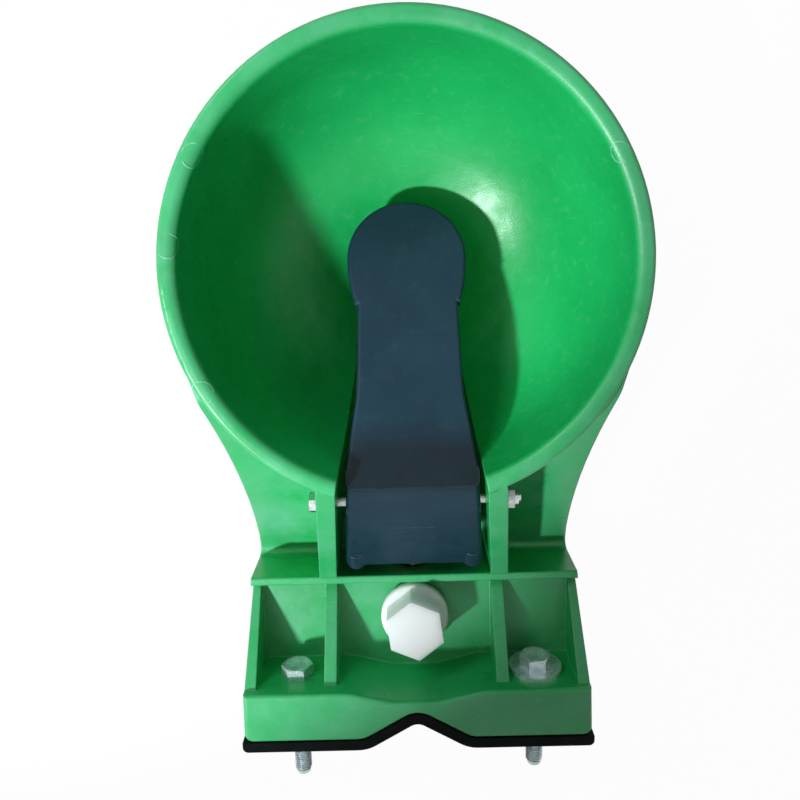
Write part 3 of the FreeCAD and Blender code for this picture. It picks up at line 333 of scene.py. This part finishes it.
def mould_marks(tree, centre):
    """Thin broken circles that the mould left on the rim."""
    total = 0.0
    for x, y, radius in MARKS:
        away = away_from(tree, centre + Vector((x, y, 0)))
        off = maths(tree, "ABSOLUTE", maths(tree, "SUBTRACT", away, radius))
        line = ramp(tree, off, MARK_LINE / 2, MARK_LINE, 1, 0)
        total = maths(tree, "MAXIMUM", total, line)
    return maths(tree, "MULTIPLY", total, patches(tree, scale=130, detail=2, band=(0.44, 0.54)))


def green_plastic(centre, radius):
    """Moulded polypropylene: uneven tint, satin skin, pale scuffs, rubbed edges that are partly a
    painted highlight, pale dust that is partly painted sheen, and painted shade towards the wall.
    """
    material, tree, shader = blank("green_plastic")
    cloud = patches(tree, scale=16, detail=3, band=(0.35, 0.65))
    blot = patches(tree, scale=210, detail=5, band=(0.56, 0.74), amount=(0, 0.16))
    scratch = patches(tree, scale=60, detail=2, band=(0.69, 0.74), amount=(0, 0.30),
                      stretch={"Rotation": (0.4, 0.2, 0.6), "Scale": (1, 22, 14)})
    # rubbed edges, partly wear and partly a painted highlight
    worn_and_highlight = maths(tree, "MULTIPLY", edge_mask(tree, GREEN_EDGE),
                 patches(tree, scale=330, detail=3, band=(0.38, 0.62), amount=(0, 0.5)))
    marks = mould_marks(tree, centre)
    tint = layered(tree, mix(tree, cloud, *GREEN),
                   ((blot, GREEN_BLOT),
                    (scratch, GREEN_SCRATCH),
                    (worn_and_highlight, GREEN_WORN_AND_HIGHLIGHT),
                    # pale dust, partly a painted sheen on faces that look up
                    (level_dust_and_sheen(tree, centre, radius), GREEN_DUST_AND_SHEEN),
                    # painted shade towards the wall, over the pockets and the flange
                    (along_y(tree, SHADE_BAND_Y, 0, WALL_SHADE_AMOUNT), GREEN_WALL_SHADE),
                    (maths(tree, "MULTIPLY", marks, MARK_TINT), GREEN_MARK)))
    rough = patches(tree, scale=90, detail=4, band=ROUGH_BAND, amount=GREEN_ROUGH)
    skin = grained(tree, GREEN_GRAINS, rounded(tree, GREEN_EDGE))
    wire(tree, shader, tint, rough, bump(tree, marks, MARK_DEPTH, skin))
    shader.inputs["Specular IOR Level"].default_value = GREEN_SPECULAR
    return material


def tongue_plastic():
    """Blue-black plastic with a fine satin grain, greyish rubbed spots on the edges that are partly
    a painted highlight, and painted shade across the hinge and on the block.
    """
    material, tree, shader = blank("tongue_plastic")
    cloud = patches(tree, scale=30, detail=3, band=(0.3, 0.7))
    blot = patches(tree, scale=170, detail=6, band=(0.57, 0.72), amount=(0, 0.16))
    # rubbed edges, partly wear and partly a painted highlight
    worn_and_highlight = maths(tree, "MULTIPLY", edge_mask(tree, TONGUE_EDGE),
                 patches(tree, scale=260, detail=3, band=(0.36, 0.62), amount=(0.05, 0.6)))
    tint = layered(tree, mix(tree, cloud, *TONGUE), ((blot, TONGUE_BLOT), (worn_and_highlight, TONGUE_WORN_AND_HIGHLIGHT)))
    # painted shade along the tongue: darkest across the hinge, lighter again on the block
    tone = maths(tree, "ADD", along_y(tree, HINGE_BAND, 1.0, HINGE_TONE),
                 along_y(tree, CREASE_BAND, 0.0, CREASE_TONE))
    tint = mix(tree, tone, BLACK, tint)
    rough = patches(tree, scale=120, detail=4, band=ROUGH_BAND, amount=TONGUE_ROUGH)
    wire(tree, shader, tint, rough, grained(tree, TONGUE_GRAINS))
    shader.inputs["Specular IOR Level"].default_value = TONGUE_SPECULAR
    return material


def white_plastic():
    """Smooth white nylon, a little soiled."""
    material, tree, shader = blank("white_plastic")
    soil = patches(tree, scale=120, detail=5, band=(0.55, 0.75), amount=(0, 0.25))
    rough = patches(tree, scale=200, detail=3, band=ROUGH_BAND, amount=NYLON_ROUGH)
    wire(tree, shader, mix(tree, soil, *NYLON), rough, grained(tree, NYLON_GRAINS))
    shader.inputs["Subsurface Weight"].default_value = NYLON_INNER
    shader.inputs["Subsurface Radius"].default_value = NYLON_SPREAD
    shader.inputs["Subsurface Scale"].default_value = NYLON_REACH
    return material


def rubber():
    """Black rubber with a dusty bloom."""
    material, tree, shader = blank("black_rubber")
    bloom = patches(tree, scale=240, detail=5, band=(0.56, 0.80), amount=(0, 0.25))
    rough = patches(tree, scale=80, detail=3, band=ROUGH_BAND, amount=RUBBER_ROUGH)
    wire(tree, shader, mix(tree, bloom, *RUBBER), rough, grained(tree, RUBBER_GRAINS))
    shader.inputs["Specular IOR Level"].default_value = RUBBER_SPECULAR
    return material


def metal(name, tints, rough, grain, depth, share):
    """Metal whose colour and roughness wander between two values."""
    material, tree, shader = blank(name)
    spots = patches(tree, scale=grain, detail=5, band=(0.4, 0.66))
    gloss = patches(tree, scale=grain * 2, detail=3, band=ROUGH_BAND, amount=rough)
    wire(tree, shader, mix(tree, spots, *tints), gloss, grained(tree, ((grain * 5, depth),)))
    shader.inputs["Metallic"].default_value = share
    return material


def looks():
    """One material for each of the record's slots."""
    low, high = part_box("bowl_body")
    radius = high.x
    centre = Vector((0, low.y + radius, high.z))
    look = {"green_plastic": green_plastic(centre, radius),
            "tongue_plastic": tongue_plastic(),
            "white_plastic": white_plastic(),
            "black_rubber": rubber()}
    for name, values in METALS.items():
        look[name] = metal(name, **values)
    return look


def hexagon_radius(angle, flats):
    """Distance from the axis to the side of a hexagon in one direction."""
    sixth = math.pi / 3
    return flats / 2 / math.cos((angle + sixth / 2) % sixth - sixth / 2)


def ring_of(radius_at, height_at):
    """One ring of points round Z, the radius and the height given by the angle."""
    ring = []
    for i in range(STEPS):
        angle = 2 * math.pi * i / STEPS
        radius = radius_at(angle)
        ring.append((radius * math.cos(angle), radius * math.sin(angle), height_at(angle)))
    return ring


def circle(radius, height):
    """One round, level ring."""
    return ring_of(lambda angle: radius, lambda angle: height)


def skin_rings(rings):
    """Faces between neighbouring rings, with both ends closed."""
    points = [p for ring in rings for p in ring]
    faces = []
    for low in range(0, (len(rings) - 1) * STEPS, STEPS):
        high = low + STEPS
        for i in range(STEPS):
            j = (i + 1) % STEPS
            faces.append((low + i, low + j, high + j, high + i))
    faces.append(tuple(reversed(range(STEPS))))
    faces.append(tuple(range(len(points) - STEPS, len(points))))
    return points, faces


def hex_head(flats, thick):
    """Head that stands up from Z = 0: bevelled hexagon with a dished top."""
    top = flats / 2 * HEAD_TOP
    slope = math.tan(HEAD_BEVEL)

    def side(angle):
        return hexagon_radius(angle, flats)

    def shoulder(angle):
        return thick - max(0.0, side(angle) - top) * slope

    rings = [ring_of(side, lambda angle: 0.0), ring_of(side, shoulder)]
    rings += [circle(top * out, thick * up) for out, up in HEAD_DISH]
    return skin_rings(rings)


def shank(radius, pitch, length, thread):
    """Plain shank and root of the thread, from Z = 0 down to the bevelled tip."""
    root = radius - pitch * THREAD_DEPTH
    start = thread - length
    stops = [(root * TIP_SHARE, -length), (root, pitch / 2 - length),
             (root, start - pitch / 2), (radius, start), (radius, 0.0)]
    return skin_rings([circle(out, height) for out, height in stops])


def thread_ridge(radius, pitch, start, turns):
    """Helical ridge round the root, tapering out at both ends."""
    root = radius - pitch * THREAD_DEPTH
    foot = root - pitch * THREAD_SINK
    total = int(turns * STEPS)
    points = []
    for i in range(total + 1):
        angle = 2 * math.pi * i / STEPS
        fade = min(1.0, i / STEPS / THREAD_FADE, (total - i) / STEPS / THREAD_FADE)
        for along, out in THREAD_PROFILE:
            r = foot + (radius - root) * out * fade
            z = start - pitch * (i / STEPS) + along * pitch
            points.append((r * math.cos(angle), r * math.sin(angle), z))
    size = len(THREAD_PROFILE)
    faces = [(a, a + 1, a + size + 1, a + size)
             for a in range(total * size) if a % size != size - 1]
    return points, faces


def threaded_bolt(length, flats, head, radius, pitch, thread):
    """Parts of a bolt with its head at Z = 0 and up, its thread running down."""
    start = thread - length - pitch
    turns = (thread - THREAD_SHORT * pitch) / pitch
    return [hex_head(flats, head), shank(radius, pitch, length, thread),
            thread_ridge(radius, pitch, start, turns)]


def build(name, parts, place, material, body):
    """One mesh from several lists of points and faces, put in place and on its body."""
    points = []
    faces = []
    for part_points, part_faces in parts:
        base = len(points)
        points += part_points
        faces += [tuple(base + k for k in face) for face in part_faces]
    mesh = bpy.data.meshes.new(name)
    mesh.from_pydata([place @ Vector(p) for p in points], [], faces)
    mesh.validate()
    mesh.materials.append(material)
    piece = bpy.data.objects.new(name, mesh)
    bpy.context.collection.objects.link(piece)
    smooth_faces(mesh)
    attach(piece, body)
    return piece


def smooth_faces(mesh):
    """Smooth shading, kept sharp at clear edges."""
    for face in mesh.polygons:
        face.use_smooth = True
    mesh.set_sharp_from_angle(angle=SHARP_FROM)


def mounting_bolts(look):
    """One bolt sits on the washer, the other straight on the flange opposite it."""
    low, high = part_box("mounting_washer")
    x = (low.x + high.x) / 2
    z = (low.z + high.z) / 2
    seats = {"mounting_bolt_left": (-x, high.y, z),
             "mounting_bolt_right": (x, low.y, z)}
    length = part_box("mounting_bolts")[1].y - high.y
    turn = Matrix.Rotation(math.radians(90), 4, "X") @ Matrix.Rotation(math.radians(90), 4, "Z")
    for name, seat in seats.items():
        piece = build(name, threaded_bolt(length, **MOUNTING), Matrix.Translation(seat) @ turn,
                      look["zinc_steel"], "housing")
        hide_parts("mounting_bolts")


def pivot_bolt(look):
    """The bolt through the cheeks, with its head towards +X."""
    low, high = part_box("pivot_bolt")
    seat = (high.x - PIVOT["head"], (low.y + high.y) / 2, (low.z + high.z) / 2)
    turn = Matrix.Rotation(math.radians(90), 4, "Y")
    piece = build("pivot_bolt_threaded", threaded_bolt(seat[0] - low.x, **PIVOT),
                  Matrix.Translation(seat) @ turn, look["stainless"], "housing")
    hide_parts("pivot_bolt")


def dress(frame, look):
    """Every solid gets its slot's material."""
    for row in frame["record"]["subparts"]:
        mesh = frame["nodes"][row["node"]].data
        mesh.materials.clear()
        mesh.materials.append(look[row["material_slot"]])


def seen_directly(tree):
    """One for rays from the camera, from shiny surfaces and through clear ones."""
    path = add(tree, "ShaderNodeLightPath").outputs
    either = maths(tree, "MAXIMUM", path["Is Camera Ray"], path["Is Glossy Ray"])
    return maths(tree, "MAXIMUM", either, path["Is Transmission Ray"])


def make_floor(height):
    """Plain white floor that keeps a faint shadow."""
    corners = [(x * FLOOR_HALF, y * FLOOR_HALF, height)
               for x, y in ((-1, -1), (1, -1), (1, 1), (-1, 1))]
    mesh = bpy.data.meshes.new("floor")
    mesh.from_pydata(corners, [], [(0, 1, 2, 3)])
    material, tree, shader = blank("floor_white")
    shader.inputs["Base Color"].default_value = FLOOR_COLOUR
    shader.inputs["Roughness"].default_value = FLOOR_ROUGH
    glow = add(tree, "ShaderNodeEmission", {"Strength": 1.0})
    share = maths(tree, "MULTIPLY", seen_directly(tree), FLOOR_GLOW)
    both = add(tree, "ShaderNodeMixShader", {0: share, 1: shader.outputs[0], 2: glow.outputs[0]})
    tree.links.new(both.outputs[0], tree.nodes["Material Output"].inputs["Surface"])
    mesh.materials.append(material)
    floor = bpy.data.objects.new("floor", mesh)
    bpy.context.collection.objects.link(floor)


def make_world():
    """Even sky that lights softly and looks white."""
    world = bpy.data.worlds.new("studio")
    bpy.context.scene.world = world
    world.use_nodes = True
    tree = world.node_tree
    strength = ramp(tree, seen_directly(tree), 0, 1, SKY, 1)
    tree.links.new(strength, tree.nodes["Background"].inputs["Strength"])
    tree.nodes["Background"].inputs["Color"].default_value = WHITE


def hang(data, place, aim):
    """Puts a lamp in its place, turned towards its aim."""
    lamp = bpy.data.objects.new(data.name, data)
    bpy.context.collection.objects.link(lamp)
    lamp.location = place
    lamp.rotation_euler = (Vector(place) - Vector(aim)).to_track_quat("Z", "Y").to_euler()


def make_lamps():
    """The key lamp is a spot, and the fill lamp a wide disk."""
    key = bpy.data.lights.new("key", "SPOT")
    key.shadow_soft_size = KEY_RADIUS
    key.spot_size = math.radians(KEY_CONE)
    key.spot_blend = KEY_SOFT
    key.energy = KEY_POWER
    key.color = LAMP_COLOUR
    hang(key, KEY_AT, KEY_AIM)
    fill = bpy.data.lights.new("fill", "AREA")
    fill.shape = "DISK"
    fill.size = FILL_SIZE
    fill.energy = FILL_POWER
    fill.color = LAMP_COLOUR
    hang(fill, FILL_AT, FILL_AIM)


def make_camera():
    """Looks down with +X on the left, tilted to the wall, then turned and rolled a little."""
    tilt, yaw, roll = (math.radians(a) for a in (CAMERA_TILT, CAMERA_YAW, CAMERA_ROLL))
    ahead = Vector((0, math.sin(tilt), -math.cos(tilt)))
    down = Vector((0, math.cos(tilt), math.sin(tilt)))
    right = Vector((-1, 0, 0))
    ahead, right = (ahead * math.cos(yaw) + right * math.sin(yaw),
                    right * math.cos(yaw) - ahead * math.sin(yaw))
    right, down = (right * math.cos(roll) + down * math.sin(roll),
                   down * math.cos(roll) - right * math.sin(roll))
    data = bpy.data.cameras.new("camera")
    data.sensor_width = CAMERA_SENSOR
    data.lens = CAMERA_LENS
    camera = bpy.data.objects.new("camera", data)
    bpy.context.collection.objects.link(camera)
    camera.matrix_world = (Matrix.Translation(CAMERA_AT)
                           @ Matrix((right, -down, -ahead)).transposed().to_4x4())
    bpy.context.scene.camera = camera


def main():
    """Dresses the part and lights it."""
    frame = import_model()
    cad_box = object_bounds()
    make_camera()
    look = looks()
    dress(frame, look)
    mounting_bolts(look)
    pivot_bolt(look)
    make_floor(cad_box[0].z)
    make_world()
    make_lamps()
    bpy.context.scene.view_settings.view_transform = "Standard"


main()
